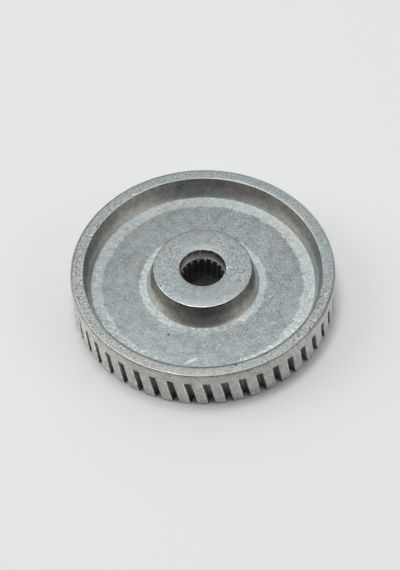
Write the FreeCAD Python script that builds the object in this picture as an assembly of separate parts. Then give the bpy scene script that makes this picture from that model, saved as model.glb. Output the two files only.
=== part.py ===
import FreeCAD, Part
import math
import os

# Worm wheel of a sunroof motor: one zinc die casting, with a rim, a recessed web and a raised hub.
# It rests on its base at z = 0, its bore runs along Z, and all lengths are in millimetres.

# Rim: its top face is rim_width wide between the bevel's outside and the recess
outer_radius = 24.0
rim_height = 8.16
rim_width = 2.35
top_bevel_width = 0.38
top_bevel_height = 0.30

# Web, with the recess above it that leaves the rim's inner wall
web_thickness = 2.49
recess_draft = 15.0
rim_foot_fillet = 0.45

# Hub
hub_height = 8.33
hub_radius = 8.93
hub_draft = 16.0
hub_foot_fillet = 0.60

# Shallow recess on the underside, between the base ring and the hub
under_depth = 1.40
base_ring_width = 4.40
under_inner_radius = 11.30
under_draft = 15.0

# Cast edges, where the corner is only broken, and the base's outer edge, which is broken more
edge_bevel = 0.12
base_edge_bevel = 0.25

# Teeth: slots that open at the base and end below the rim's plain band
tooth_count = 47
plain_band_height = 2.09
slot_mouth = 1.34
slot_depth = 1.25
slot_flank_angle = 19.0
helix_angle = 10.1
first_slot_angle = 4.38

# Blind bore: an internal spline below a smooth counterbore that is counterbore_step wider
spline_count = 18
spline_root_radius = 3.95
rib_height = 0.30
rib_root_width = 0.50
rib_tip_width = 0.30
first_rib_angle = 1.5
counterbore_step = 0.20
counterbore_depth = 2.40
bore_chamfer = 0.20
bore_floor_thickness = 1.0

# How far cutting tools reach past the faces that they cut
overcut = 1.0


def drafted(radius, height, angle):
    """Radius of a sloping wall, a given height further along its slope."""
    return radius + height * math.tan(math.radians(angle))


def point(radius, z):
    """Point of the section, in the plane y = 0."""
    return FreeCAD.Vector(radius, 0, z)


def polar(radius, angle, z=0.0):
    """Point at a radius and an angle in radians, at a height."""
    return FreeCAD.Vector(radius * math.cos(angle), radius * math.sin(angle), z)


def softened_edges(corners):
    """Edges of a closed outline of (point, softening, size) corners: sharp, filleted or bevelled."""
    ends = []
    for index, (corner, softening, size) in enumerate(corners):
        to_last = corners[index - 1][0] - corner
        to_next = corners[(index + 1) % len(corners)][0] - corner
        half_angle = to_last.getAngle(to_next) / 2
        reach = size / math.tan(half_angle) if softening == "fillet" else size
        reach = min(reach, 0.45 * to_last.Length, 0.45 * to_next.Length)
        start = corner + to_last.normalize() * reach
        end = corner + to_next.normalize() * reach
        inset = reach / math.cos(half_angle) - reach * math.tan(half_angle)
        middle = corner + (to_last + to_next).normalize() * inset
        ends.append((start, middle, end, softening))
    edges = []
    for index, (start, middle, end, softening) in enumerate(ends):
        if softening == "fillet":
            edges.append(Part.Arc(start, middle, end).toShape())
        if softening == "bevel":
            edges.append(Part.makeLine(start, end))
        edges.append(Part.makeLine(end, ends[(index + 1) % len(ends)][0]))
    return edges


def turned_blank():
    """Wheel without teeth or bore: its section turned about the axis."""
    web_top = under_depth + web_thickness
    rim_inner_radius = outer_radius - rim_width
    rim_foot_radius = drafted(rim_inner_radius, web_top - rim_height, recess_draft)
    hub_foot_radius = drafted(hub_radius, hub_height - web_top, hub_draft)
    under_outer_radius = outer_radius - base_ring_width
    under_top_inner = drafted(under_inner_radius, under_depth, under_draft)
    under_top_outer = drafted(under_outer_radius, -under_depth, under_draft)
    section = [
        (point(0, 0), "sharp", 0),
        (point(under_inner_radius, 0), "bevel", edge_bevel),
        (point(under_top_inner, under_depth), "sharp", 0),
        (point(under_top_outer, under_depth), "sharp", 0),
        (point(under_outer_radius, 0), "bevel", edge_bevel),
        (point(outer_radius, 0), "bevel", base_edge_bevel),
        (point(outer_radius, rim_height - top_bevel_height), "sharp", 0),
        (point(outer_radius - top_bevel_width, rim_height), "sharp", 0),
        (point(rim_inner_radius, rim_height), "bevel", edge_bevel),
        (point(rim_foot_radius, web_top), "fillet", rim_foot_fillet),
        (point(hub_foot_radius, web_top), "fillet", hub_foot_fillet),
        (point(hub_radius, hub_height), "bevel", edge_bevel),
        (point(0, hub_height), "sharp", 0),
    ]
    face = Part.Face(Part.Wire(softened_edges(section)))
    return face.revolve(FreeCAD.Vector(0, 0, 0), FreeCAD.Vector(0, 0, 1), 360)


def slot_section(z):
    """Outline of one tooth slot at a height: a trapezoid, wider outwards, turned by the helix."""
    turn = math.tan(math.radians(helix_angle)) / outer_radius
    centre = math.radians(first_slot_angle) - turn * z
    flank_slope = math.tan(math.radians(slot_flank_angle))
    root_half_width = slot_mouth / 2 - slot_depth * flank_slope
    outside_half_width = slot_mouth / 2 + overcut * flank_slope
    root_x = outer_radius - slot_depth
    outside_x = outer_radius + overcut
    corners = [
        FreeCAD.Vector(root_x, root_half_width, z),
        FreeCAD.Vector(root_x, -root_half_width, z),
        FreeCAD.Vector(outside_x, -outside_half_width, z),
        FreeCAD.Vector(outside_x, outside_half_width, z),
    ]
    wire = Part.makePolygon(corners + corners[:1])
    wire.rotate(FreeCAD.Vector(0, 0, 0), FreeCAD.Vector(0, 0, 1), math.degrees(centre))
    return wire


def tooth_slots():
    """Cutters of all tooth slots, from below the base up to the plain band."""
    slot_top = rim_height - plain_band_height
    cutter = Part.makeLoft([slot_section(-overcut), slot_section(slot_top)], True, True)
    cutters = []
    for index in range(tooth_count):
        copy = cutter.copy()
        copy.rotate(FreeCAD.Vector(0, 0, 0), FreeCAD.Vector(0, 0, 1), index * 360.0 / tooth_count)
        cutters.append(copy)
    return Part.makeCompound(cutters)


def counterbore():
    """Smooth bore under the hub's top face, with a broken edge at its mouth."""
    radius = spline_root_radius + counterbore_step
    floor = hub_height - counterbore_depth
    axis = FreeCAD.Vector(0, 0, 1)
    wall = Part.makeCylinder(radius, counterbore_depth + overcut, point(0, floor), axis)
    mouth = Part.makeCone(
        radius,
        radius + bore_chamfer + overcut,
        bore_chamfer + overcut,
        point(0, hub_height - bore_chamfer),
        axis,
    )
    return wall.fuse(mouth)


def splined_bore():
    """Toothed blind hole in the hub: arcs at the root radius, with narrow ribs that point inwards."""
    spline_tip_radius = spline_root_radius - rib_height
    root_half_angle = math.asin(rib_root_width / 2 / spline_root_radius)
    tip_half_angle = math.asin(rib_tip_width / 2 / spline_tip_radius)
    pitch = 2 * math.pi / spline_count
    edges = []
    for index in range(spline_count):
        rib = math.radians(first_rib_angle) + index * pitch
        rib_start = polar(spline_root_radius, rib - root_half_angle)
        tip_start = polar(spline_tip_radius, rib - tip_half_angle)
        tip_end = polar(spline_tip_radius, rib + tip_half_angle)
        rib_end = polar(spline_root_radius, rib + root_half_angle)
        gap_middle = polar(spline_root_radius, rib + pitch / 2)
        next_rib = polar(spline_root_radius, rib + pitch - root_half_angle)
        edges.append(Part.makeLine(rib_start, tip_start))
        edges.append(Part.makeLine(tip_start, tip_end))
        edges.append(Part.makeLine(tip_end, rib_end))
        edges.append(Part.Arc(rib_end, gap_middle, next_rib).toShape())
    # The cutter starts at the bore's floor and ends inside the counterbore
    depth = hub_height - counterbore_depth / 2 - bore_floor_thickness
    hole = Part.Face(Part.Wire(edges)).extrude(FreeCAD.Vector(0, 0, depth))
    hole.translate(FreeCAD.Vector(0, 0, bore_floor_thickness))
    return hole


def worm_wheel():
    """The whole casting."""
    wheel = turned_blank()
    wheel = wheel.cut(tooth_slots())
    wheel = wheel.cut(counterbore())
    wheel = wheel.cut(splined_bore())
    return wheel


os.makedirs("parts", exist_ok=True)
worm_wheel().exportStep("parts/worm_wheel.step")
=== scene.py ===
import math
from collections import namedtuple
import bpy
import numpy as np
from mathutils import Matrix, Vector


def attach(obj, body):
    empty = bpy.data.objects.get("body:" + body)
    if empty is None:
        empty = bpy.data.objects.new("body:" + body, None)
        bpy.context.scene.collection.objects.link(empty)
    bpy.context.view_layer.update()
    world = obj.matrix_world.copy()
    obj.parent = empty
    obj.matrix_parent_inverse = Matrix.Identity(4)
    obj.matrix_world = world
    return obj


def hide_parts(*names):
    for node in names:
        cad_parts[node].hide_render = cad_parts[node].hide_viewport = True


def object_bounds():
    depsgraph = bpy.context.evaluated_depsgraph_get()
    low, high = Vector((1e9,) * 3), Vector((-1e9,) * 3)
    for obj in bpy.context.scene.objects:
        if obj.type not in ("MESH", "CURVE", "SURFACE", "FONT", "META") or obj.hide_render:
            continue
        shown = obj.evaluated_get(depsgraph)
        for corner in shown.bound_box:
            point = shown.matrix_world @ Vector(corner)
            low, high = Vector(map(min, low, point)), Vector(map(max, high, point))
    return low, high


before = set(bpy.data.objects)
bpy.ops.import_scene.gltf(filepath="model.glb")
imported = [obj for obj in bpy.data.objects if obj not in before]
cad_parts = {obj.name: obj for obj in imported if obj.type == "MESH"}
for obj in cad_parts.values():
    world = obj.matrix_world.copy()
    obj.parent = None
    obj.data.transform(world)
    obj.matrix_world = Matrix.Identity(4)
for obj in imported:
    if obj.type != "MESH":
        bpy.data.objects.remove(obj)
CAD_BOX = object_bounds()

MM = 0.001
TAU = 2 * math.pi

# Sizes of the casting in millimetres, the outer ones from the frame's box
OUTER_RADIUS = (CAD_BOX[1].x - CAD_BOX[0].x) / 2 / MM
HUB_TOP = CAD_BOX[1].z / MM
RIM_TOP = 8.16
RIM_INNER_RADIUS = 21.65
BEVEL_WIDTH = 0.38
BEVEL_HEIGHT = 0.30
WEB_TOP = 3.89
RECESS_DRAFT = math.radians(15.0)
HUB_RADIUS = 8.93
HUB_DRAFT = math.radians(16.0)
UNDER_DEPTH = 1.40
UNDER_INNER_RADIUS = 11.30
UNDER_OUTER_RADIUS = 19.60
UNDER_DRAFT = math.radians(15.0)

# Roundings of the section's corners
EDGE_ROUNDING = 0.12
BEVEL_LOWER_ROUNDING = 0.06
BEVEL_UPPER_ROUNDING = 0.08
RIM_INNER_ROUNDING = 0.10
RIM_FOOT_FILLET = 0.45
HUB_FOOT_FILLET = 0.60
UNDER_FILLET = 0.30
COUNTERBORE_ROUNDING = 0.04

# Teeth
TEETH = 47
SLOT_TOP = 6.07
SLOT_MOUTH = 1.34
SLOT_DEPTH = 1.25
FLANK_SLOPE = math.tan(math.radians(19.0))
HELIX_TURN = math.tan(math.radians(10.1)) / OUTER_RADIUS
FIRST_SLOT = math.radians(4.38)
ROOT_FILLET = 0.25
MOUTH_ROUNDING = 0.02
MOUTH_ROUNDING_WIDTH = 0.05
LAND_STEP = 0.02

# Unevenness of the slots' edges: its usual size, its limit, and how far it reaches beside an edge
RAGGED_EDGE = 0.018
RAGGED_LIMIT = 0.05
RAGGED_REACH = 0.15
RAGGED_SEED = 7

# Bore
BORE_RADIUS = 4.15
COUNTERBORE_DEPTH = 2.40
SPLINE_TOP = HUB_TOP - COUNTERBORE_DEPTH
RIBS = 18
RIB_ROOT_RADIUS = 3.95
RIB_TIP_RADIUS = 3.65
RIB_ROOT_WIDTH = 0.50
RIB_TIP_WIDTH = 0.30
FIRST_RIB = math.radians(1.5)
RIB_END_PULL = 0.03
ROOT_PULL_SHARE = 0.3
RIB_END_HEIGHT = 0.05
BORE_FLOOR = 1.0

# The mesh is a grid: its rows follow the section, and its columns go round the axis. The full turn is that
# of the columns above the slots
PER_TOOTH = 20
COLUMNS = TEETH * PER_TOOTH
COLUMN_STEP = TAU / COLUMNS
FULL_TURN = -HELIX_TURN * SLOT_TOP

# Columns on one side of a slot: shares of its root's half width, a distance past the root's corner, and
# distances from the edge of its mouth
ROOT_SHARES = (0.55, 1.0)
PAST_ROOT = 0.12
BESIDE_MOUTH = (-0.10, -0.03, 0.03, 0.12, 0.45)

# Rows of the outer wall. The pairs are height and inset at the broken base edge, height from the slots' top
# and how open a slot is there, and height above the slots' top and inset where the plain band starts
BASE_EDGE = ((0.0, 0.17), (0.03, 0.09), (0.10, 0.04))
BASE_ROW_INSET = 0.30
FIRST_LAND_ROW = 0.30
LAND_ROW_SPACING = 0.40
LAND_ROWS = 14
LAST_LAND_ROW = SLOT_TOP - 0.10
SLOT_END = ((-0.03, 0.97), (0.0, 0.5), (0.02, 0.06))
BAND_START = ((0.05, LAND_STEP), (0.09, 0.0))
PLAIN_START = SLOT_TOP + 0.4

# Rows of the underside and of the spline
UNDER_CAP_RADIUS = 4.60
INSIDE_SLOT_ROOT = 0.5
UNDER_RIM_RADIUS = OUTER_RADIUS - SLOT_DEPTH - INSIDE_SLOT_ROOT
SPLINE_ROWS = (4.6, 3.0, BORE_FLOOR)
INSIDE_RIB_TIPS = 0.25
FLOOR_CAP_RADIUS = RIB_TIP_RADIUS - INSIDE_RIB_TIPS

# The materials' regions, and how far each reaches past a corner of the section
REGIONS = [
    "web",
    "hub_top",
    "rim_top",
    "wall",
    "flank",
    "band",
    "teeth",
    "slot",
    "bore",
    "spline",
    "under",
]
WALL_START = 0.12
FLANK_START = 0.15
TOP_REACH = 0.04
RIM_TOP_REACH = 0.05
BEVEL_START = 0.02
BORE_REACH = 0.02
LEDGE_START = 0.1

# Uneven skin of the drafted walls: seeds, shortest harmonics, their number and their height
WAVE_SEEDS = (11, 12)
WAVE_SHORTEST = 26
WAVE_COUNT = 12
WAVE_HEIGHT = 0.010
RIPPLE_SEED = 100
RIPPLE_SHORTEST = 90
RIPPLE_COUNT = 16
RIPPLE_HEIGHT = 0.0012

# Nicks, pits and burrs: radius, direction in degrees, height, size, push outwards and push up
DENTS = (
    (21.72, 150.8, 8.12, 0.45, -0.12, 0.05),
    (21.66, 157.8, 8.05, 0.40, 0.16, -0.10),
    (21.70, 124.6, 8.10, 0.40, 0.12, -0.08),
    (23.66, -105.4, 8.10, 0.30, 0.04, 0.06),
    (23.70, -37.6, 8.05, 0.30, -0.14, -0.10),
    (23.95, -83.2, 3.35, 0.45, -0.30, 0.0),
    (4.30, -2.9, 8.30, 0.30, 0.10, -0.08),
)
DENT_SHARPNESS = 1.7

# Tints of the metal, cool on the faces and warm in stains, along the painted highlight and shade lines and
# on the walls' painted paler sides
COOL = (0.885, 0.99, 1.01)
WARM = (1.00, 0.98, 0.90)
NEUTRAL = (0.98, 0.985, 0.99)
WALL_WARM = (1.045, 0.975, 0.87)
SLOT_COOL = (1.0, 0.985, 1.01)
BORE_COOL = (0.965, 0.985, 0.995)

# Tones that several looks share, and the strength of the outer wall's grain
DARKEST = 0.01
TOP_TONE = 0.397
OUTER_GRAIN = 2.1

# Half the height over which the walls' two zones blend, and the soft ends of sectors in degrees
SPLIT_FADE = 0.7
LINE_SOFTNESS = 20
COARSE_SIDE_SOFTNESS = 25
WALL_SIDE_SOFTNESS = 22

# Pale rings of the web, by the radii between which they fade, and where the front rim's edge hides the web
RIM_RING = (18.2, 18.5)
HUB_RING = (11.9, 11.5)
HIDDEN_CENTRE = (0.0, 3.2, WEB_TOP)
HIDDEN_RADII = (21.0, 21.5)

# How much height counts in an oval mark, and between which parts of the oval the mark fades
MARK_HEIGHT_SCALE = 1.2
MARK_FADE = (1.15, 0.55)

# Marks on the web: radius, direction, height, length, width and heading
WEB_SCRATCHES = (
    (17.48, -98.2, WEB_TOP, 3.0, 0.75, 125),
    (12.65, -17.0, WEB_TOP, 0.7, 0.35, 80),
    (16.1, 158.1, WEB_TOP, 0.5, 0.35, 80),
    (13.16, 157.9, WEB_TOP, 0.4, 0.35, 80),
)
WEB_SPOT = (13.18, -119.3, WEB_TOP, 0.55, 0.45, 0)

# Lines of painted highlight and painted shade that the looks draw along the rim's edges: radius and height
RIM_INNER_EDGE = (RIM_INNER_RADIUS + 0.03, RIM_TOP - 0.03)
RIM_OUTER_EDGE = (OUTER_RADIUS - BEVEL_WIDTH, RIM_TOP - 0.02)

# Marks on the top faces: the same six values, and how much paler than the face the mark is
HUB_TOP_MARKS = (
    (4.45, -2.9, RIM_TOP, 0.5, 0.4, 0, 0.4),
)
RIM_TOP_MARKS = (
    (23.40, -105.4, RIM_TOP, 0.6, 0.3, 90, 0.5),
    (22.05, -76.2, RIM_TOP, 0.7, 0.3, 70, -0.25),
    (23.45, -37.6, RIM_TOP, 0.6, 0.4, 90, -0.3),
    (21.95, 150.8, RIM_TOP, 0.6, 0.4, 80, -0.3),
    (22.00, 124.6, RIM_TOP, 0.5, 0.3, 80, 0.4),
    (22.10, 157.0, RIM_TOP, 0.6, 0.3, 60, 0.4),
)

# Floor, and soft room light: its colours by height, and its strength from the camera's side to the back
FLOOR_COLOR = (0.822, 0.826, 0.834)
FLOOR_ROUGHNESS = 0.9
FLOOR_HALF = 3.0
ROOM_COLORS = (
    (0.0, (0.46, 0.45, 0.43)),
    (0.25, (0.52, 0.51, 0.50)),
    (0.50, (0.60, 0.61, 0.61)),
    (0.80, (0.66, 0.68, 0.69)),
    (1.0, (0.74, 0.76, 0.77)),
)
ROOM_SIDE = (-0.9, 0.3)
ROOM_STRENGTH = (0.08, 0.94)

# Lamps, in metres and watts, aimed at the middle of the base: name, place, width, depth, power and colour
LAMPS = (
    ("overhead", (-0.08, 0.077, 0.80), 0.36, 0.15, 2.46, (1.0, 0.99, 0.98)),
    ("key", (-0.80, 0.05, 0.58), 0.6, 0.6, 1.85, (1.0, 0.985, 0.95)),
    ("fill", (0.82, -0.35, 0.45), 0.6, 0.6, 1.30, (0.98, 0.99, 1.0)),
)

# Camera, fitted to the photograph's rims and tooth slots
CAMERA_DISTANCE = 0.2960
CAMERA_ELEVATION = math.radians(52.79)
CAMERA_PITCH = math.radians(0.383)
CAMERA_YAW = math.radians(0.109)
CAMERA_ROLL = math.radians(1.708)
LENS = 101.05
SENSOR = 36.0
CLIP_START = 0.01
CLIP_END = 20.0


def smooth_wave(angles, seed, shortest, count):
    """Periodic random wave of about unit size, made of count seeded harmonics up to a shortest one."""
    random = np.random.default_rng(seed)
    total = np.zeros(len(angles))
    for _ in range(count):
        harmonic = random.integers(2, shortest)
        total += random.normal() * np.sin(harmonic * angles + random.uniform(0, TAU))
    return total / math.sqrt(count / 2)


def smooth_min(a, b, width):
    """The smaller of two values, with the corner between them rounded over a width."""
    blend = np.clip(0.5 + 0.5 * (b - a) / width, 0, 1)
    return b + (a - b) * blend - width * blend * (1 - blend)


def slot_stations():
    """Offsets along the outer circle, in one tooth pitch, from the middle of a tooth across a slot."""
    half_pitch = TAU * OUTER_RADIUS / TEETH / 2
    mouth = SLOT_MOUTH / 2
    root = mouth - SLOT_DEPTH * FLANK_SLOPE
    side = [share * root for share in ROOT_SHARES]
    side += [root + PAST_ROOT, (root + mouth) / 2]
    side += [mouth + distance for distance in BESIDE_MOUTH]
    return np.array([-half_pitch] + [-offset for offset in reversed(side)] + [0.0] + side)


STATIONS = slot_stations()


def slot_depth(offset):
    """Depth of the slot below the outer circle, at an offset from the slot's middle line."""
    past_mouth = np.abs(offset) - SLOT_MOUTH / 2
    depth = smooth_min(-past_mouth / FLANK_SLOPE, np.full(len(offset), SLOT_DEPTH), ROOT_FILLET)
    return np.maximum(depth, 0.0) + MOUTH_ROUNDING * np.exp(-(past_mouth / MOUTH_ROUNDING_WIDTH) ** 2)


def uniform_angles(turn):
    """Evenly spaced columns, turned by the helix at their height."""
    return FIRST_SLOT + (np.arange(COLUMNS) - PER_TOOTH // 2) * COLUMN_STEP + turn


def tooth_ring(z, open_share=1.0, inset=0.0):
    """One row of the toothed wall: slots at their full depth times open_share, on a wall moved inwards."""
    turn = -HELIX_TURN * min(z, SLOT_TOP)
    offset = np.tile(STATIONS, TEETH)
    random = np.random.default_rng(round(1000 * z) + RAGGED_SEED)
    ragged = np.repeat(random.normal(0, RAGGED_EDGE, TEETH * 2), PER_TOOTH // 2)
    near_edge = np.exp(-((np.abs(offset) - SLOT_MOUTH / 2) / RAGGED_REACH) ** 2)
    offset = offset + np.clip(ragged, -RAGGED_LIMIT, RAGGED_LIMIT) * near_edge
    middle = FIRST_SLOT + np.repeat(np.arange(TEETH), PER_TOOTH) * TAU / TEETH + turn
    depth = slot_depth(offset) * open_share
    radius = OUTER_RADIUS - depth - inset
    return middle + offset / (OUTER_RADIUS - depth), radius, np.full(COLUMNS, z)


def plain_ring(radius, z, turn):
    """One round row."""
    return uniform_angles(turn), np.full(COLUMNS, radius), np.full(COLUMNS, z)


def mixed(ring_a, ring_b, share):
    """Row between two others."""
    return tuple(a + (b - a) * share for a, b in zip(ring_a, ring_b))


def splined_ring(z, pull=0.0):
    """One row of the bore's spline, with its ribs pulled back towards their roots."""
    rib_pitch = TAU / RIBS
    angles = uniform_angles(FULL_TURN)
    tip = math.asin(RIB_TIP_WIDTH / 2 / RIB_TIP_RADIUS)
    root = math.asin(RIB_ROOT_WIDTH / 2 / RIB_ROOT_RADIUS)
    rib = np.round((angles - FIRST_RIB) / rib_pitch)
    offset = angles - FIRST_RIB - rib * rib_pitch
    side = np.where(offset < 0, -1.0, 1.0)
    offset = np.abs(offset)
    # Columns near a corner of a rib move onto it, so that the rib stays crisp
    for corner in (tip, root):
        near = np.abs(offset - corner) < COLUMN_STEP / 2
        offset = np.where(near, corner, offset)
    radius = np.interp(offset, [tip, root], [RIB_TIP_RADIUS, RIB_ROOT_RADIUS])
    radius = np.minimum(radius + pull, RIB_ROOT_RADIUS + pull * ROOT_PULL_SHARE)
    return FIRST_RIB + rib * rib_pitch + side * offset, radius, np.full(COLUMNS, z)


# Corner of a section: its rounding, the points on its arc, and the spans from it to the next corner
Corner = namedtuple("Corner", "radius z rounding arc_points spans", defaults=(0, 0, 1))


def unit(vector):
    """Vector of length one in the same direction."""
    return vector / np.linalg.norm(vector)


def rounded_section(corners):
    """Points along a section, with arcs at its rounded corners and equal spans between them."""
    places = [np.array((corner.radius, corner.z)) for corner in corners]
    points = [places[0]]
    for index in range(1, len(corners)):
        start = points[-1]
        corner = corners[index]
        place = places[index]
        end = place
        arc = []
        if corner.rounding and index + 1 < len(corners):
            to_last = unit(places[index - 1] - place)
            to_next = unit(places[index + 1] - place)
            half = math.acos(np.clip(to_last @ to_next, -1, 1)) / 2
            reach = corner.rounding / math.tan(half)
            end = place + to_last * reach
            leave = place + to_next * reach
            centre = place + unit(to_last + to_next) * corner.rounding / math.sin(half)
            for step in range(1, corner.arc_points + 1):
                share = step / corner.arc_points
                direction = (end - centre) * (1 - share) + (leave - centre) * share
                arc.append(centre + unit(direction) * corner.rounding)
        spans = corners[index - 1].spans
        for step in range(1, spans):
            points.append(start + (end - start) * step / spans)
        points.append(end)
        points += arc
    return points


def underside_rows():
    """Rows from the underside's middle to its base ring, with their material regions."""
    slope = UNDER_DEPTH * math.tan(UNDER_DRAFT)
    points = rounded_section([
        Corner(UNDER_CAP_RADIUS, 0.0),
        Corner(UNDER_INNER_RADIUS, 0.0, EDGE_ROUNDING, 2),
        Corner(UNDER_INNER_RADIUS + slope, UNDER_DEPTH, UNDER_FILLET, 3, 2),
        Corner(UNDER_OUTER_RADIUS - slope, UNDER_DEPTH, UNDER_FILLET, 3),
        Corner(UNDER_OUTER_RADIUS, 0.0, EDGE_ROUNDING, 2),
        Corner(UNDER_RIM_RADIUS, 0.0),
    ])
    rows = []
    for radius, z in points:
        share = (radius - points[0][0]) / (points[-1][0] - points[0][0])
        rows.append((plain_ring(radius, z, FULL_TURN * (1 - share)), "under"))
    return rows


def toothed_rows():
    """Rows up the outer wall, from the base edge across the slots to the plain band."""
    inner = plain_ring(UNDER_RIM_RADIUS, 0.0, 0.0)
    rows = [(mixed(inner, tooth_ring(0.0, 1.0, BASE_ROW_INSET), 0.5), "under")]
    angles, radius, z = tooth_ring(0.0)
    for height, inset in BASE_EDGE:
        rows.append(((angles, radius - inset, z + height), "teeth"))
    land_heights = [FIRST_LAND_ROW + LAND_ROW_SPACING * step for step in range(LAND_ROWS)]
    for height in land_heights + [LAST_LAND_ROW]:
        rows.append((tooth_ring(height, 1.0, LAND_STEP), "teeth"))
    for height, open_share in SLOT_END:
        rows.append((tooth_ring(SLOT_TOP + height, open_share, LAND_STEP), "teeth"))
    for height, inset in BAND_START:
        rows.append((tooth_ring(SLOT_TOP + height, 0.0, inset), "band"))
    return rows


def section_region(radius, z, by_rim):
    """Material region of a point of the section above the tooth slots, by_rim or by the hub."""
    if radius < BORE_RADIUS + BORE_REACH:
        return "bore" if radius > BORE_RADIUS - LEDGE_START else "spline"
    if radius > OUTER_RADIUS - BEVEL_WIDTH + BEVEL_START:
        return "band"
    if z > HUB_TOP - TOP_REACH:
        return "hub_top"
    if z > RIM_TOP - TOP_REACH and radius > RIM_INNER_RADIUS - RIM_TOP_REACH:
        return "rim_top"
    if by_rim:
        return "wall" if z > WEB_TOP + WALL_START else "web"
    return "flank" if z > WEB_TOP + FLANK_START else "web"


def band_rows():
    """Rows from the plain band over the rim, the web and the hub to the spline's upper end."""
    rim_foot = RIM_INNER_RADIUS - (RIM_TOP - WEB_TOP) * math.tan(RECESS_DRAFT)
    hub_foot = HUB_RADIUS + (HUB_TOP - WEB_TOP) * math.tan(HUB_DRAFT)
    points = rounded_section([
        Corner(OUTER_RADIUS, PLAIN_START, spans=3),
        Corner(OUTER_RADIUS, RIM_TOP - BEVEL_HEIGHT, BEVEL_LOWER_ROUNDING, 2),
        Corner(OUTER_RADIUS - BEVEL_WIDTH, RIM_TOP, BEVEL_UPPER_ROUNDING, 3, 3),
        Corner(RIM_INNER_RADIUS, RIM_TOP, RIM_INNER_ROUNDING, 3, 4),
        Corner(rim_foot, WEB_TOP, RIM_FOOT_FILLET, 4, 5),
        Corner(hub_foot, WEB_TOP, HUB_FOOT_FILLET, 4, 5),
        Corner(HUB_RADIUS, HUB_TOP, EDGE_ROUNDING, 3, 3),
        Corner(BORE_RADIUS, HUB_TOP, EDGE_ROUNDING, 3, 3),
        Corner(BORE_RADIUS, SPLINE_TOP, COUNTERBORE_ROUNDING, 1),
        Corner(RIB_ROOT_RADIUS + RIB_END_PULL, SPLINE_TOP),
    ])
    rows = []
    for radius, z in points:
        by_rim = radius > (rim_foot + hub_foot) / 2
        rows.append((plain_ring(radius, z, FULL_TURN), section_region(radius, z, by_rim)))
    return rows


def spline_rows():
    """Rows down the spline, from the counterbore's lower end to the bore's floor."""
    rows = [(splined_ring(SPLINE_TOP, RIB_END_PULL), "spline")]
    for z in (SPLINE_TOP - RIB_END_HEIGHT, *SPLINE_ROWS):
        rows.append((splined_ring(z), "spline"))
    rows.append((plain_ring(FLOOR_CAP_RADIUS, BORE_FLOOR, FULL_TURN), "spline"))
    return rows


def wavy_walls(angles, radius, z, region, seed):
    """Radius of a row, with the uneven casting skin that bends what the two drafted walls mirror."""
    if region not in ("wall", "flank"):
        return radius
    low, high = (smooth_wave(angles, wave_seed, WAVE_SHORTEST, WAVE_COUNT) for wave_seed in WAVE_SEEDS)
    share = (z - WEB_TOP) / (RIM_TOP - WEB_TOP)
    ripple = smooth_wave(angles, seed, RIPPLE_SHORTEST, RIPPLE_COUNT)
    return radius + WAVE_HEIGHT * (low * (1 - share) + high * share) + RIPPLE_HEIGHT * ripple


def grid_points(rows):
    """Points of all the rows in millimetres, one row after the other."""
    grid = []
    for index, ((angles, radius, z), region) in enumerate(rows):
        radius = wavy_walls(angles, radius, z, region, RIPPLE_SEED + index)
        grid.append(np.stack([radius * np.cos(angles), radius * np.sin(angles), z], axis=1))
    return np.concatenate(grid)


def grid_faces(rows):
    """Faces between the rows, and the region of each."""
    faces = []
    regions = []
    next_stations = np.append(STATIONS[1:], -STATIONS[0])
    in_slot = np.tile(np.abs(STATIONS + next_stations) / 2 < SLOT_MOUTH / 2, TEETH)
    for row in range(len(rows) - 1):
        region = rows[row + 1][1] if rows[row + 1][1] != "under" else rows[row][1]
        for column in range(COLUMNS):
            beside = (column + 1) % COLUMNS
            faces.append((
                row * COLUMNS + column,
                row * COLUMNS + beside,
                (row + 1) * COLUMNS + beside,
                (row + 1) * COLUMNS + column,
            ))
            regions.append("slot" if region == "teeth" and in_slot[column] else region)
    return faces, regions


def build_casting():
    """The whole casting as one closed mesh, each of its regions with its own material."""
    rows = underside_rows() + toothed_rows() + band_rows() + spline_rows()
    points = dented(grid_points(rows)) * MM
    faces, regions = grid_faces(rows)
    # Flat caps close the underside and the bore's floor
    faces.append(tuple(range(COLUMNS - 1, -1, -1)))
    regions.append("under")
    last = (len(rows) - 1) * COLUMNS
    faces.append(tuple(range(last, last + COLUMNS)))
    regions.append("spline")
    mesh = bpy.data.meshes.new("worm_wheel_casting")
    mesh.from_pydata(points.tolist(), [], faces)
    mesh.polygons.foreach_set("material_index", [REGIONS.index(region) for region in regions])
    mesh.polygons.foreach_set("use_smooth", [True] * len(faces))
    mesh.update()
    casting = bpy.data.objects.new("casting", mesh)
    casting.modifiers.new("even_normals", "WEIGHTED_NORMAL").keep_sharp = True
    return casting


def dented(points):
    """The points with the nicks, pits and burrs pressed into them, none past the outer circle."""
    points = points.copy()
    angle = np.arctan2(points[:, 1], points[:, 0])
    for mark_radius, degrees, height, size, outwards, up in DENTS:
        direction = math.radians(degrees)
        centre = np.array([mark_radius * math.cos(direction), mark_radius * math.sin(direction), height])
        distance = np.linalg.norm(points - centre, axis=1)
        weight = np.exp(-(distance / (size / DENT_SHARPNESS)) ** 2)
        points[:, 0] += weight * outwards * np.cos(angle)
        points[:, 1] += weight * outwards * np.sin(angle)
        points[:, 2] += weight * up
    keep = OUTER_RADIUS / np.maximum(np.hypot(points[:, 0], points[:, 1]), OUTER_RADIUS)
    points[:, :2] *= keep[:, None]
    return points


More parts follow.
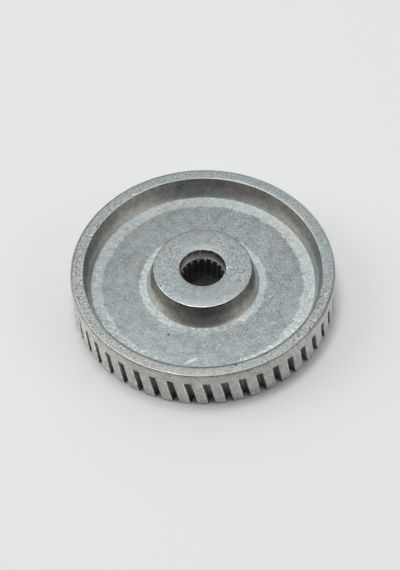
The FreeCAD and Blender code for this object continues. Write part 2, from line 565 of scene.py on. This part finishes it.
class Look:
    """One material: a shader with the nodes that drive it, all lengths in millimetres of the casting."""

    def __init__(self, name):
        self.material = bpy.data.materials.new(name)
        self.material.use_nodes = True
        self.nodes = self.material.node_tree.nodes
        self.links = self.material.node_tree.links
        self.shader = self.nodes["Principled BSDF"]
        coordinates = self.nodes.new("ShaderNodeTexCoord")
        self.place = self.vector("SCALE", coordinates.outputs["Object"], scale=1 / MM)
        split = self.node("ShaderNodeSeparateXYZ", {0: self.place})
        self.x, self.y, self.z = split.outputs
        self.radius = self.hypotenuse(self.x, self.y)

    def node(self, kind, inputs, **settings):
        """Add a node with its settings, and link or set its inputs."""
        node = self.nodes.new(kind)
        for key, value in settings.items():
            setattr(node, key, value)
        for key, value in inputs.items():
            if isinstance(value, bpy.types.NodeSocket):
                self.links.new(value, node.inputs[key])
            else:
                node.inputs[key].default_value = value
        return node

    def math(self, operation, a, b=0.0, c=0.0):
        """Result of a math node."""
        return self.node("ShaderNodeMath", {0: a, 1: b, 2: c}, operation=operation).outputs[0]

    def times(self, *values):
        """Product of several values."""
        product = values[0]
        for value in values[1:]:
            product = self.math("MULTIPLY", product, value)
        return product

    def hypotenuse(self, a, b):
        """Length of the vector of two values."""
        return self.math("SQRT", self.math("ADD", self.times(a, a), self.times(b, b)))

    def vector(self, operation, a, b=None, scale=None):
        """Result of a vector math node: a number for a length or a dot product, otherwise a vector."""
        inputs = {0: a}
        if b is not None:
            inputs[1] = b
        if scale is not None:
            inputs["Scale"] = scale
        node = self.node("ShaderNodeVectorMath", inputs, operation=operation)
        return node.outputs["Value" if operation in ("LENGTH", "DOT_PRODUCT") else "Vector"]

    def step(self, value, low, high, start=0.0, end=1.0):
        """Smooth step of a value between two limits."""
        inputs = {"Value": value, "From Min": low, "From Max": high, "To Min": start, "To Max": end}
        return self.node("ShaderNodeMapRange", inputs, interpolation_type="SMOOTHSTEP").outputs["Result"]

    def noise(self, per_mm, detail=2.0, roughness=0.5, shift=0.0, stretch=(1.0, 1.0, 1.0)):
        """Noise about zero, of about unit range, a number of features per millimetre."""
        place = self.vector("MULTIPLY", self.place, stretch)
        place = self.vector("ADD", place, (shift, 1.7 * shift, 0.6 * shift))
        inputs = {"Vector": place, "Scale": per_mm, "Detail": detail, "Roughness": roughness}
        node = self.node("ShaderNodeTexNoise", inputs)
        return self.math("MULTIPLY_ADD", node.outputs["Fac"], 2.0, -1.0)

    def specks(self, per_mm, share, size, shift=0.0):
        """Mask of scattered dots: the share of the cells that have one, and its size within the cell."""
        place = self.vector("ADD", self.place, (shift, -shift, 2 * shift))
        cells = self.node("ShaderNodeTexVoronoi", {"Vector": place, "Scale": per_mm})
        chance = self.node("ShaderNodeSeparateXYZ", {0: cells.outputs["Color"]}).outputs[0]
        chosen = self.math("GREATER_THAN", chance, 1.0 - share)
        return self.times(chosen, self.step(cells.outputs["Distance"], size, 0.4 * size))

    def mix(self, factor, a, b):
        """Value between two others."""
        inputs = {"Value": factor, "From Min": 0.0, "From Max": 1.0, "To Min": a, "To Max": b}
        return self.node("ShaderNodeMapRange", inputs).outputs["Result"]

    def scaled(self, value, mask, gain):
        """A value, multiplied by gain where a mask is one."""
        return self.times(value, self.mix(mask, 1.0, gain))

    def tinted(self, factor, a, b):
        """Colour between two others."""
        inputs = {"Fac": factor, "Color1": (*a, 1.0), "Color2": (*b, 1.0)}
        return self.node("ShaderNodeMixRGB", inputs).outputs[0]

    def edge(self, radius, z, width):
        """Mask of a round edge of the section."""
        across = self.math("SUBTRACT", self.radius, radius)
        along = self.math("SUBTRACT", self.z, z)
        return self.step(self.hypotenuse(across, along), width, 0.4 * width)

    def sector(self, degrees, half, soft):
        """Mask of the side that looks one way, with soft ends."""
        angle = math.radians(degrees)
        facing = self.vector("NORMALIZE", self.vector("MULTIPLY", self.place, (1.0, 1.0, 0.0)))
        dot = self.vector("DOT_PRODUCT", facing, (math.cos(angle), math.sin(angle), 0.0))
        low = math.cos(math.radians(min(half + soft, 180)))
        high = math.cos(math.radians(max(half - soft, 0)))
        return self.step(dot, low, high)

    def slot_offset(self):
        """Distance along the outer circle from the middle of the nearest slot."""
        turned = self.math("MULTIPLY_ADD", self.z, HELIX_TURN, self.math("ARCTAN2", self.y, self.x))
        phase = self.times(self.math("SUBTRACT", turned, FIRST_SLOT), TEETH / TAU)
        from_slot = self.math("SUBTRACT", phase, self.math("ROUND", phase))
        return self.times(from_slot, TAU * OUTER_RADIUS / TEETH)

    def any_of(self, masks):
        """Mask of all the places that are in at least one of several masks."""
        total = masks[0]
        for mask in masks[1:]:
            total = self.math("MAXIMUM", total, mask)
        return total

    def edge_lines(self, lines):
        """Mask of parts of round edges: each has radius, height, width, direction and half its opening."""
        masks = []
        for radius, z, width, degrees, half in lines:
            side = self.sector(degrees, half, LINE_SOFTNESS)
            masks.append(self.times(self.edge(radius, z, width), side))
        return self.any_of(masks)

    def mark(self, radius, degrees, z, length, width, heading):
        """Mask of an oval mark: heading is its direction from the radial one, in degrees."""
        angle = math.radians(degrees)
        centre = (radius * math.cos(angle), radius * math.sin(angle), z)
        turn = -(angle + math.radians(heading))
        moved = self.vector("SUBTRACT", self.place, centre)
        inputs = {"Vector": moved, "Angle": turn}
        turned = self.node("ShaderNodeVectorRotate", inputs, rotation_type="Z_AXIS").outputs[0]
        in_oval = self.vector("MULTIPLY", turned, (2 / length, 2 / width, MARK_HEIGHT_SCALE))
        return self.step(self.vector("LENGTH", in_oval), *MARK_FADE)

    def sum(self, *terms):
        """Sum of products: each term is a value, or a value and its weight."""
        total = None
        for term in terms:
            value, weight = term if isinstance(term, tuple) else (term, 1.0)
            total = self.math("MULTIPLY_ADD", value, weight, 0.0 if total is None else total)
        return total

    def finish(self, tone, warmth, metallic, roughness, height, depth, cool=COOL, warm=WARM):
        """Set the shader: tone scales a colour between cool and warm, and height is the relief in depth."""
        tone = self.math("MAXIMUM", tone, DARKEST)
        color = self.vector("SCALE", self.tinted(warmth, cool, warm), scale=tone)
        self.links.new(color, self.shader.inputs["Base Color"])
        for name, value in (("Metallic", metallic), ("Roughness", roughness)):
            if isinstance(value, bpy.types.NodeSocket):
                self.links.new(value, self.shader.inputs[name])
            else:
                self.shader.inputs[name].default_value = value
        bump = self.node("ShaderNodeBump", {"Height": height, "Distance": depth * MM})
        self.links.new(bump.outputs["Normal"], self.shader.inputs["Normal"])
        return self.material


def web_rings(look):
    """Masks of the web's pale rings, broken up and weaker on some sides, and of the hub's ring unbroken."""
    coarse = look.noise(per_mm=0.3, detail=3.0, roughness=0.6, shift=21.0)
    fine = look.noise(per_mm=0.9, detail=3.0, roughness=0.75, shift=23.0)
    by_rim = look.step(look.sum(look.radius, coarse, (fine, 0.75)), *RIM_RING)
    by_rim = look.scaled(by_rim, look.sector(-92, half=24, soft=11), 0.15)
    by_rim = look.scaled(by_rim, look.sector(140, half=60, soft=25), 0.68)
    coarse = look.noise(per_mm=0.45, detail=3.0, roughness=0.6, shift=33.0)
    fine = look.noise(per_mm=1.1, detail=3.0, roughness=0.7, shift=28.0)
    by_hub = look.step(look.sum(look.radius, coarse, (fine, 0.5)), *HUB_RING)
    patches = look.noise(per_mm=0.5, detail=4.0, roughness=0.7, shift=51.0)
    patches = look.step(patches, -0.40, -0.10, 0.35, 1.0)
    pale = look.times(look.math("MAXIMUM", by_rim, by_hub), patches)
    broken = look.noise(per_mm=0.8, detail=3.0, roughness=0.7, shift=57.0)
    broken = look.step(broken, -0.15, 0.05, 0.25, 1.15)
    return look.scaled(pale, look.sector(-135, half=25, soft=15), broken), by_hub


def web_scuffs(look):
    """Mask of scuffs on the web, where the front rim's edge hides the rest of it."""
    from_centre = look.vector("LENGTH", look.vector("SUBTRACT", look.place, HIDDEN_CENTRE))
    scuffs = look.times(look.step(from_centre, *HIDDEN_RADII), look.sector(-50, half=24, soft=8))
    broken = look.noise(per_mm=1.4, detail=3.0, roughness=0.75, shift=71.0)
    return look.times(scuffs, look.step(broken, 0.0, 0.25))


def web_look():
    """Recessed web: mottled blue-grey skin, with pale matt rings beside the rim and the hub."""
    look = Look("zinc_web")
    fine = look.noise(per_mm=3.05, detail=3.0, roughness=0.70)
    fine = look.scaled(fine, look.sector(155, half=50, soft=30), 0.7)
    fine = look.scaled(fine, look.sector(-105, half=45, soft=30), 0.75)
    soft = look.noise(per_mm=0.8, detail=2.0, roughness=0.5, shift=5.0)
    broad = look.noise(per_mm=0.22, detail=2.0, roughness=0.5, shift=9.0)
    grit = look.noise(per_mm=1.5, detail=4.0, roughness=0.75, shift=61.0)
    pale, by_hub = web_rings(look)
    gritty = look.times(grit, look.scaled(pale, look.sector(50, half=75, soft=30), 0.5))
    in_front = look.step(look.y, -2.0, -14.0)
    sparkle = look.times(look.specks(per_mm=2.4, share=0.16, size=0.30), look.mix(in_front, 0.6, 1.1))
    tone = look.sum(
        look.mix(pale, 0.373, 0.620),
        (gritty, 0.50),
        (fine, 0.43),
        (soft, 0.13),
        (broad, 0.07),
        (sparkle, 0.32),
        (look.any_of([look.mark(*scratch) for scratch in WEB_SCRATCHES]), 0.26),
        (look.mark(*WEB_SPOT), -0.25),
        # Painted light: the front a little lighter, the left and front right a little darker, and painted
        # shade on the hub's pale ring in front of the hub
        (look.sector(-100, half=70, soft=40), 0.02),
        (look.sector(180, half=30, soft=25), -0.02),
        (look.sector(-45, half=25, soft=20), -0.015),
        (look.times(by_hub, look.sector(-90, half=22, soft=20)), -0.14),
        (web_scuffs(look), 0.32),
    )
    warmth = look.sum(
        (look.noise(per_mm=0.16, detail=2.0, roughness=0.5, shift=14.0), 0.9),
        (look.noise(per_mm=1.0, detail=2.0, roughness=0.5, shift=19.0), 0.6),
        (pale, 0.2),
        (look.sector(115, half=22, soft=20), 0.2),
        -0.15,
    )
    metallic = look.mix(pale, 0.85, 0.25)
    roughness = look.sum(look.mix(pale, 0.44, 0.60), (soft, 0.05), (sparkle, -0.12))
    return look.finish(tone, warmth, metallic, roughness, look.sum(fine, (soft, 0.4)), 0.026)


def top_look(name, grain, grit_share, relief, back_strength, front_strength, front_warmth, left_warmth,
             coarse_sides, painted_light_edges, shaded_edges, marks):
    """Flat top faces with a crystalline grain that is coarser on some sides, painted highlights along some
    edges and painted shade along others.
    """
    look = Look(name)
    fine = look.noise(per_mm=3.2, detail=3.0, roughness=0.75, shift=3.0)
    soft = look.noise(per_mm=0.9, detail=2.0, roughness=0.5, shift=8.0)
    coarse = look.any_of([look.sector(*side, COARSE_SIDE_SOFTNESS) for side in coarse_sides])
    grit = look.noise(per_mm=1.9, detail=4.0, roughness=0.75, shift=40.0)
    sparkle = look.specks(per_mm=2.2, share=0.12, size=0.34, shift=2.0)
    pits = look.times(look.specks(per_mm=1.7, share=0.10, size=0.36, shift=7.0), coarse)
    # Painted highlights along some edges, and painted shade along others
    painted_edge_light = look.edge_lines(painted_light_edges)
    shade = look.edge_lines(shaded_edges)
    clean = look.math("SUBTRACT", 1.0, look.math("MAXIMUM", painted_edge_light, shade))
    strength = look.times(look.mix(coarse, 0.38, 0.62), clean)
    strength = look.scaled(strength, look.sector(80, half=55, soft=20), back_strength)
    strength = look.scaled(strength, look.sector(-90, half=40, soft=25), front_strength)
    tone = look.sum(TOP_TONE, (soft, 0.07), (sparkle, 0.26), (pits, -0.22), (painted_edge_light, 0.22), (shade, -0.21))
    tone = look.math("MULTIPLY_ADD", look.sum((fine, grain), (grit, grit_share * grain)), strength, tone)
    for *place, paler in marks:
        tone = look.sum(tone, (look.mark(*place), paler))
    warmth = look.sum(
        (look.noise(per_mm=0.2, detail=2.0, roughness=0.5, shift=17.0), 0.8),
        (soft, 0.5),
        (painted_edge_light, 0.8),
        (look.sector(-60, half=50, soft=30), front_warmth),
        (look.sector(190, half=60, soft=30), left_warmth),
        (shade, 0.8),
    )
    roughness = look.sum(0.46, (soft, 0.06), (painted_edge_light, -0.1), (sparkle, -0.1))
    height = look.sum(look.times(grit, coarse), (fine, 0.7), (pits, -1.0))
    return look.finish(tone, warmth, 0.85, roughness, look.times(height, clean, strength), relief)


def wall_look(name, split_height, high_tone, low_tone, painted_light_edges, edge_light_gain, sides):
    """Drafted wall: a bright smooth drag zone below a dull speckled one, painted paler or darker on some
    sides as reflection and shade, with a painted line along one edge.
    """
    look = Look(name)
    fine = look.noise(per_mm=2.4, detail=3.0, roughness=0.65, shift=4.0)
    streak = look.noise(per_mm=0.7, detail=3.0, roughness=0.6, shift=12.0, stretch=(1.0, 1.0, 0.5))
    mottle = look.noise(per_mm=1.3, detail=4.0, roughness=0.75, shift=52.0)
    uneven = look.noise(per_mm=0.45, detail=3.0, roughness=0.6, shift=25.0)
    ragged = look.sum(look.z, (uneven, 1.4), (fine, 0.25))
    upper = look.step(ragged, split_height - SPLIT_FADE, split_height + SPLIT_FADE)
    # A painted line along an edge: a highlight where the gain is positive, a shade where it is negative
    painted_edge_light = look.edge_lines(painted_light_edges)
    tone = look.mix(upper, low_tone, high_tone)
    tone = look.sum(tone, (streak, 0.13), (mottle, 0.17), (painted_edge_light, edge_light_gain))
    tone = look.math("MULTIPLY_ADD", fine, look.mix(upper, 0.04, 0.18), tone)
    warmth = look.sum(0.35, (streak, 0.6), (mottle, 0.8))
    # Painted reflection and shade: each side's tone is scaled by its gain, and the paler sides are warmed
    for degrees, half, gain in sides:
        side = look.sector(degrees, half, WALL_SIDE_SOFTNESS)
        tone = look.scaled(tone, side, gain)
        warmth = look.sum(warmth, (side, 0.7 if gain > 1 else -0.2))
    foot = look.step(look.z, WEB_TOP + 0.65, WEB_TOP + 0.25)
    tone = look.scaled(tone, foot, 0.9)
    metallic = look.mix(foot, 0.9, 0.7)
    roughness = look.sum(look.mix(upper, 0.26, 0.42), (streak, 0.08), (fine, 0.04), (foot, 0.3))
    height = look.math("MULTIPLY_ADD", fine, look.mix(upper, 0.15, 1.0), look.times(streak, 0.5))
    return look.finish(tone, warmth, metallic, roughness, height, 0.008, NEUTRAL, WALL_WARM)


def slot_edge_highlight(look):
    """Mask of a painted highlight along the slots' left edges, up to their upper ends."""
    beside_slot = look.math("ABSOLUTE", look.math("ADD", look.slot_offset(), SLOT_MOUTH / 2 + 0.08))
    beside_slot = look.step(beside_slot, 0.16, 0.05)
    in_teeth = look.step(look.z, SLOT_TOP + 0.1, SLOT_TOP - 0.1)
    patchy = look.step(look.noise(per_mm=1.1, detail=3.0, roughness=0.6, shift=37.0), -0.35, 0.15)
    return look.times(beside_slot, in_teeth, patchy)


def outer_look(name, tone_level, painted_shade_edges, edge_light_gain=0.0):
    """Outer wall and tooth lands: warmer grey, with pits, specks and a duller bevel, painted lighter on the
    left and right, with painted shade at the base and along edges.
    """
    look = Look(name)
    fine = look.noise(per_mm=2.4, detail=4.0, roughness=0.75, shift=6.0)
    soft = look.noise(per_mm=0.7, detail=3.0, roughness=0.6, shift=16.0)
    pits = look.specks(per_mm=1.9, share=0.16, size=0.30, shift=11.0)
    specks = look.specks(per_mm=2.1, share=0.12, size=0.30, shift=15.0)
    base = look.step(look.z, 0.55, 0.05)
    bevel = look.step(look.z, RIM_TOP - 0.33, RIM_TOP - 0.25)
    below_top = look.step(look.z, RIM_TOP - 0.5, RIM_TOP - 0.3)
    # Painted shade lines along edges
    line = look.edge_lines(painted_shade_edges)
    tone = look.sum(
        tone_level,
        (fine, 0.26 * OUTER_GRAIN),
        (soft, 0.12 * OUTER_GRAIN),
        (pits, -0.24),
        (specks, 0.18),
        # Painted light: the left and right sides lighter
        (look.sector(180, half=40, soft=25), 0.18),
        (look.sector(0, half=35, soft=25), 0.11),
        # Painted shade at the base, next to the floor
        (base, -0.12),
        (look.sector(-125, half=25, soft=20), 0.03),
    )
    # The bevel is darker all round, with painted shade making it darker still on the right and the left
    tone = look.scaled(tone, bevel, 0.80)
    tone = look.scaled(tone, look.times(bevel, look.sector(0, half=30, soft=20)), 0.66)
    tone = look.scaled(tone, look.times(bevel, look.sector(180, half=45, soft=25)), 0.84)
    # Painted shade lines, and the painted highlight beside the slots
    tone = look.sum(tone, (line, -0.34), (slot_edge_highlight(look), edge_light_gain))
    warmth = look.sum(0.7, (soft, 0.8), (line, 0.5), (below_top, 0.5))
    roughness = look.sum(0.48, (soft, 0.08), (fine, 0.06))
    metallic = look.mix(bevel, 0.6, 0.15)
    height = look.sum(fine, (soft, 0.6), (pits, -1.0))
    return look.finish(tone, warmth, metallic, roughness, height, 0.022, NEUTRAL)


def slot_look():
    """Tooth slots: dark, and darker still towards their lower ends with painted shade."""
    look = Look("zinc_slot")
    fine = look.noise(per_mm=2.2, detail=3.0, roughness=0.6, shift=18.0)
    # Painted shade: the tone falls towards the slots' lower ends
    tone = look.sum(look.mix(look.step(look.z, 0.3, 3.5), 0.09, 0.26), (fine, 0.24))
    warmth = look.sum(0.3, (fine, 0.5))
    roughness = look.sum(0.5, (fine, 0.1))
    return look.finish(tone, warmth, 0.5, roughness, fine, 0.02, SLOT_COOL, WARM)


def bore_look():
    """Smooth upper bore with painted light: paler towards its lower end and on its back side, and a painted
    shade line under its mouth.
    """
    look = Look("zinc_bore")
    soft = look.noise(per_mm=0.8, detail=3.0, roughness=0.6, shift=22.0)
    mottle = look.noise(per_mm=1.6, detail=3.0, roughness=0.7, shift=27.0)
    # Painted light: paler towards the lower end
    low = look.step(look.sum(look.z, (soft, 0.6)), HUB_TOP - 0.5, SPLINE_TOP + 0.5)
    # Painted shade line under the mouth
    line = look.edge(BORE_RADIUS, HUB_TOP - 0.22, 0.25)
    tone = look.sum(look.mix(low, 0.43, 1.72), (soft, 0.35), (mottle, 1.25))
    # Painted light on the back side, painted shade on the others
    tone = look.times(tone, look.mix(look.sector(105, half=38, soft=30), 0.35, 1.0))
    tone = look.sum(tone, (line, -0.2))
    warmth = look.sum(0.4, (soft, 0.6))
    roughness = look.sum(0.36, (soft, 0.1))
    return look.finish(tone, warmth, 0.6, roughness, soft, 0.01, BORE_COOL)


def spline_look():
    """Splined lower bore: dark, with painted light on the upper ends of its ribs at the back and painted
    shade on its ledge and floor.
    """
    look = Look("zinc_spline")
    soft = look.noise(per_mm=0.8, detail=3.0, roughness=0.6, shift=24.0)
    tips = look.step(look.radius, RIB_ROOT_RADIUS - 0.04, RIB_ROOT_RADIUS - 0.16)
    rib_ends = look.step(look.z, SPLINE_TOP - 0.9, SPLINE_TOP - 0.3)
    # Painted light on the upper ends of the ribs at the back
    lit_rib_ends = look.times(tips, rib_ends, look.sector(90, half=35, soft=20))
    # Painted shade on the ledge at the ribs' roots
    ledge_shade = look.step(look.radius, RIB_ROOT_RADIUS - 0.03, RIB_ROOT_RADIUS + 0.02)
    # Painted shade on the bore's floor
    floor = look.step(look.z, BORE_FLOOR + 0.2, BORE_FLOOR + 0.05)
    # The grooves get a paler tone than the rib tips, to even out their shade
    tone = look.mix(tips, 0.232, 0.136)
    tone = look.sum(tone, (lit_rib_ends, 0.18), (floor, -0.10), (ledge_shade, -0.20), (soft, 0.03))
    warmth = look.sum(0.4, (soft, 0.5))
    roughness = look.sum(0.5, (soft, 0.1))
    return look.finish(tone, warmth, 0.3, roughness, soft, 0.01, NEUTRAL)


def under_look():
    """Underside: plain cast skin."""
    look = Look("zinc_under")
    fine = look.noise(per_mm=2.6, detail=3.0, roughness=0.65, shift=31.0)
    soft = look.noise(per_mm=0.6, detail=2.0, roughness=0.5, shift=35.0)
    sparkle = look.specks(per_mm=1.9, share=0.10, size=0.32, shift=5.0)
    tone = look.sum(0.44, (fine, 0.26), (soft, 0.10), (sparkle, 0.15))
    warmth = look.sum(0.2, (soft, 0.6))
    roughness = look.sum(0.48, (soft, 0.06))
    return look.finish(tone, warmth, 0.85, roughness, look.sum(fine, (soft, 0.4)), 0.018)


def hub_top_look():
    """Top face of the hub."""
    return top_look(
        "zinc_hub_top",
        grain=0.88,
        grit_share=0.2,
        relief=0.0616,
        back_strength=1.0,
        front_strength=0.6,
        front_warmth=0.0,
        left_warmth=0.15,
        coarse_sides=((180, 60), (10, 40)),
        # Painted highlight along the front left edge, painted shade along the back edge
        painted_light_edges=((HUB_RADIUS - 0.04, HUB_TOP - 0.03, 0.17, -120, 60),),
        shaded_edges=((HUB_RADIUS, HUB_TOP - 0.05, 0.18, 85, 80),),
        marks=HUB_TOP_MARKS,
    )


def rim_top_look():
    """Top face of the rim."""
    return top_look(
        "zinc_rim_top",
        grain=1.12,
        grit_share=0.8,
        relief=0.0792,
        back_strength=0.9,
        front_strength=0.58,
        front_warmth=0.45,
        left_warmth=0.4,
        coarse_sides=((197, 50), (-45, 25)),
        # Painted highlights along the inner edge at the back and the outer edge at the front left
        painted_light_edges=(
            (*RIM_INNER_EDGE, 0.22, 48, 30),
            (*RIM_INNER_EDGE, 0.13, 130, 14),
            (OUTER_RADIUS - BEVEL_WIDTH - 0.06, RIM_TOP, 0.13, -135, 40),
        ),
        shaded_edges=(
            (*RIM_OUTER_EDGE, 0.16, 130, 60),
            (*RIM_OUTER_EDGE, 0.12, -90, 30),
            (*RIM_OUTER_EDGE, 0.09, -40, 25),
            (*RIM_INNER_EDGE, 0.42, -80, 65),
        ),
        marks=RIM_TOP_MARKS,
    )


def rim_wall_look():
    """Drafted wall inside the rim, with a painted highlight along its upper edge at the back right."""
    return wall_look(
        "zinc_wall",
        split_height=5.9,
        high_tone=0.30,
        low_tone=0.465,
        # Painted highlight along the upper edge; the sides below are painted paler or darker
        painted_light_edges=((*RIM_INNER_EDGE, 0.19, 55, 40),),
        edge_light_gain=0.38,
        sides=((135, 17, 1.85), (48, 18, 1.30), (165, 20, 0.63), (8, 20, 0.85), (90, 20, 1.0)),
    )


def hub_flank_look():
    """Drafted flank of the hub, with a painted shade line under its top edge in front."""
    return wall_look(
        "zinc_flank",
        split_height=6.0,
        high_tone=0.26,
        low_tone=0.52,
        # Painted shade line under the top edge in front
        painted_light_edges=((HUB_RADIUS + 0.03, HUB_TOP - 0.16, 0.14, -115, 70),),
        edge_light_gain=-0.25,
        sides=((-50, 15, 1.31), (-130, 15, 1.29), (-160, 12, 1.22), (-90, 14, 0.71), (-5, 18, 0.83)),
    )


def band_look():
    """Plain band above the tooth slots, with its bevel and painted shade lines along the bevel's upper
    edge.
    """
    # Painted shade lines along the bevel's upper edge, strongest in front
    painted_shade_edges = (
        (*RIM_OUTER_EDGE, 0.21, -92, 28),
        (*RIM_OUTER_EDGE, 0.13, -40, 25),
        (*RIM_OUTER_EDGE, 0.24, -138, 28),
        (*RIM_OUTER_EDGE, 0.25, 120, 70),
    )
    return outer_look("zinc_band", tone_level=0.52, painted_shade_edges=painted_shade_edges)


def teeth_look():
    """Lands of the teeth, with painted shade along their base edge in front and a painted highlight beside
    the slots.
    """
    # Painted shade along the base edge in front
    painted_shade_edges = ((OUTER_RADIUS, 0.0, 0.25, -100, 50),)
    # Painted highlight beside the slots' left edges
    return outer_look("zinc_teeth", tone_level=0.54, painted_shade_edges=painted_shade_edges, edge_light_gain=0.30)


def casting_looks():
    """The materials of the regions, in the order of REGIONS."""
    return [
        web_look(),
        hub_top_look(),
        rim_top_look(),
        rim_wall_look(),
        hub_flank_look(),
        band_look(),
        teeth_look(),
        slot_look(),
        bore_look(),
        spline_look(),
        under_look(),
    ]


def make_floor():
    """Plain pale floor."""
    mesh = bpy.data.meshes.new("floor")
    corners = [(-1, -1), (1, -1), (1, 1), (-1, 1)]
    mesh.from_pydata([(x * FLOOR_HALF, y * FLOOR_HALF, 0) for x, y in corners], [], [(0, 1, 2, 3)])
    floor = bpy.data.objects.new("floor", mesh)
    bpy.context.collection.objects.link(floor)
    material = bpy.data.materials.new("floor_paper")
    material.use_nodes = True
    shader = material.node_tree.nodes["Principled BSDF"]
    shader.inputs["Base Color"].default_value = (*FLOOR_COLOR, 1)
    shader.inputs["Roughness"].default_value = FLOOR_ROUGHNESS
    mesh.materials.append(material)


def make_camera():
    """Camera at the photograph's place and lens."""
    away = Vector((0, -math.cos(CAMERA_ELEVATION), math.sin(CAMERA_ELEVATION)))
    forward = -away
    right = Vector((1, 0, 0))
    up = right.cross(forward)
    pitch = Matrix.Rotation(CAMERA_PITCH, 3, right)
    forward = pitch @ forward
    up = pitch @ up
    yaw = Matrix.Rotation(CAMERA_YAW, 3, up)
    forward = yaw @ forward
    right = yaw @ right
    roll = Matrix.Rotation(CAMERA_ROLL, 3, forward)
    up = roll @ up
    right = roll @ right
    data = bpy.data.cameras.new("camera")
    data.lens = LENS
    data.sensor_width = SENSOR
    data.clip_start = CLIP_START
    data.clip_end = CLIP_END
    camera = bpy.data.objects.new("camera", data)
    bpy.context.collection.objects.link(camera)
    axes = Matrix((right, up, -forward)).transposed().to_4x4()
    camera.matrix_world = Matrix.Translation(away * CAMERA_DISTANCE) @ axes
    bpy.context.scene.camera = camera


def make_world():
    """Soft room light, that grows paler upwards and is darker on the camera's side."""
    world = bpy.data.worlds.new("studio")
    bpy.context.scene.world = world
    world.use_nodes = True
    nodes = world.node_tree.nodes
    links = world.node_tree.links
    background = nodes["Background"]
    place = nodes.new("ShaderNodeTexCoord")
    split = nodes.new("ShaderNodeSeparateXYZ")
    links.new(place.outputs["Generated"], split.inputs[0])
    height = nodes.new("ShaderNodeValToRGB")
    links.new(split.outputs["Z"], height.inputs["Fac"])
    # The ramp starts with a stop at each of its ends
    stops = height.color_ramp.elements
    for position, _ in ROOM_COLORS[1:-1]:
        stops.new(position)
    for stop, (_, color) in zip(stops, ROOM_COLORS):
        stop.color = (*color, 1)
    side = nodes.new("ShaderNodeMapRange")
    side.interpolation_type = "SMOOTHSTEP"
    for name, value in zip(("From Min", "From Max", "To Min", "To Max"), ROOM_SIDE + ROOM_STRENGTH):
        side.inputs[name].default_value = value
    links.new(split.outputs["Y"], side.inputs["Value"])
    links.new(height.outputs["Color"], background.inputs["Color"])
    links.new(side.outputs["Result"], background.inputs["Strength"])


def area_light(name, place, width, depth, power, color):
    """Soft light that points at the middle of the base."""
    data = bpy.data.lights.new(name, "AREA")
    data.shape = "RECTANGLE"
    data.size = width
    data.size_y = depth
    data.energy = power
    data.color = color
    light = bpy.data.objects.new(name, data)
    bpy.context.collection.objects.link(light)
    light.location = place
    light.rotation_mode = "QUATERNION"
    light.rotation_quaternion = (-Vector(place)).to_track_quat("-Z", "Y")


casting = build_casting()
bpy.context.collection.objects.link(casting)
for look in casting_looks():
    casting.data.materials.append(look)
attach(casting, "root")
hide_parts("worm_wheel")

make_floor()
make_camera()
make_world()
for lamp in LAMPS:
    area_light(*lamp)

bpy.context.scene.view_settings.view_transform = "Standard"
